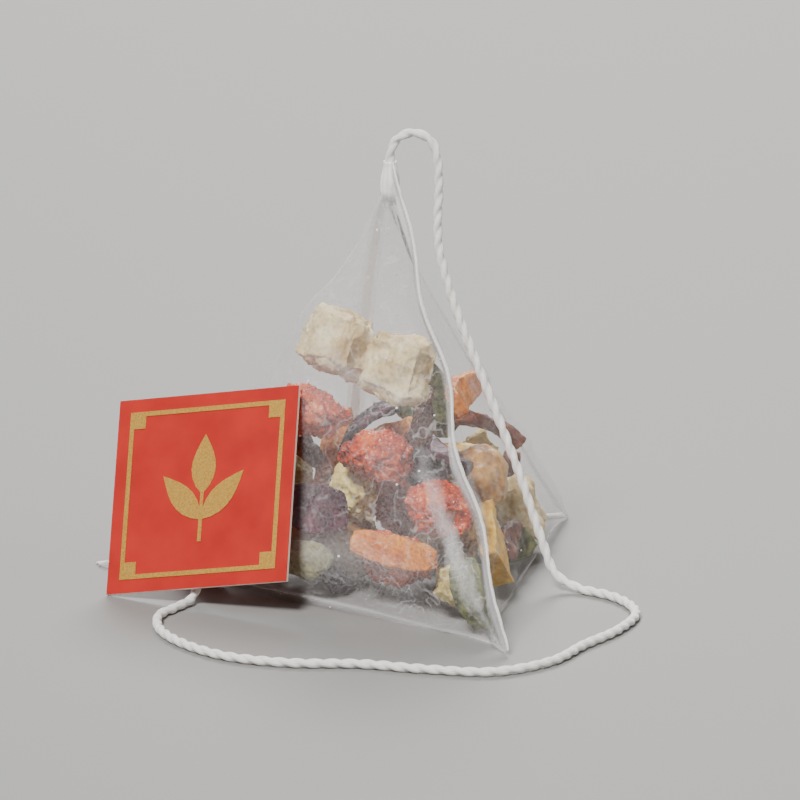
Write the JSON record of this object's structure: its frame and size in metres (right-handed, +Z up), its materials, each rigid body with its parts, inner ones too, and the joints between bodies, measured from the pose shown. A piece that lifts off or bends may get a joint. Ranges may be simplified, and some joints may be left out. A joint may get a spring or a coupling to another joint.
{
  "type": "pyramid tea bag",
  "caption": "Four-sided pyramid bag of sheer fabric filled with dried fruit pieces, with heat-sealed edges, a cotton thread and a square card tag.",
  "frame": {"origin": "on the table, under the middle of the bag with its two end seals", "axes": "+X along the foot seal, +Y from the front corner to the foot seal, +Z up"},
  "size_m": [0.0683, 0.0656, 0.057],
  "materials": {
    "sheer_fabric": "sheer white nonwoven filter fabric",
    "white_cotton": "twisted white cotton",
    "red_card": "printed card",
    "gold_foil": "thin gold print",
    "cream_cube": "dried apple",
    "golden_oval": "dried fruit, slightly glossy",
    "red_chunk": "granular dried fruit",
    "green_twist": "twisted dried leaf",
    "lemon_wedge": "dried lemon",
    "pale_lump": "dried flower head",
    "orange_peel": "dried peel",
    "dark_petal": "dried petal",
    "brown_shred": "dried fruit shred",
    "leaf_shred": "dried leaf",
    "dark_bead": "dried berry"
  },
  "bodies": {
    "root": {"bag_fabric": "sheer_fabric", "thread": "white_cotton", "tag_card": "red_card", "tag_foil_border": "gold_foil", "tag_foil_sprig": "gold_foil", "cream_cube_1": "cream_cube", "cream_cube_2": "cream_cube", "cream_cube_3": "cream_cube", "cream_cube_4": "cream_cube", "cream_cube_5": "cream_cube", "cream_cube_6": "cream_cube", "golden_oval_1": "golden_oval", "golden_oval_2": "golden_oval", "golden_oval_3": "golden_oval", "golden_oval_4": "golden_oval", "red_chunk_1": "red_chunk", "red_chunk_2": "red_chunk", "red_chunk_3": "red_chunk", "red_chunk_4": "red_chunk", "red_chunk_5": "red_chunk", "red_chunk_6": "red_chunk", "green_twist_1": "green_twist", "green_twist_2": "green_twist", "green_twist_3": "green_twist", "lemon_wedge_1": "lemon_wedge", "lemon_wedge_2": "lemon_wedge", "pale_lump_1": "pale_lump", "pale_lump_2": "pale_lump", "pale_lump_3": "pale_lump", "pale_lump_4": "pale_lump", "orange_peel_1": "orange_peel", "orange_peel_2": "orange_peel", "orange_peel_3": "orange_peel", "orange_peel_4": "orange_peel", "dark_petal_1": "dark_petal", "dark_petal_2": "dark_petal", "dark_petal_3": "dark_petal", "dark_petal_4": "dark_petal", "brown_shred_1": "brown_shred", "brown_shred_2": "brown_shred", "brown_shred_3": "brown_shred", "brown_shred_4": "brown_shred", "brown_shred_5": "brown_shred", "leaf_shred_1": "leaf_shred", "leaf_shred_2": "leaf_shred", "leaf_shred_3": "leaf_shred", "leaf_shred_4": "leaf_shred", "leaf_shred_5": "leaf_shred", "dark_bead_1": "dark_bead", "dark_bead_2": "dark_bead", "dark_bead_3": "dark_bead", "dark_bead_4": "dark_bead"}
  },
  "joints": []
}
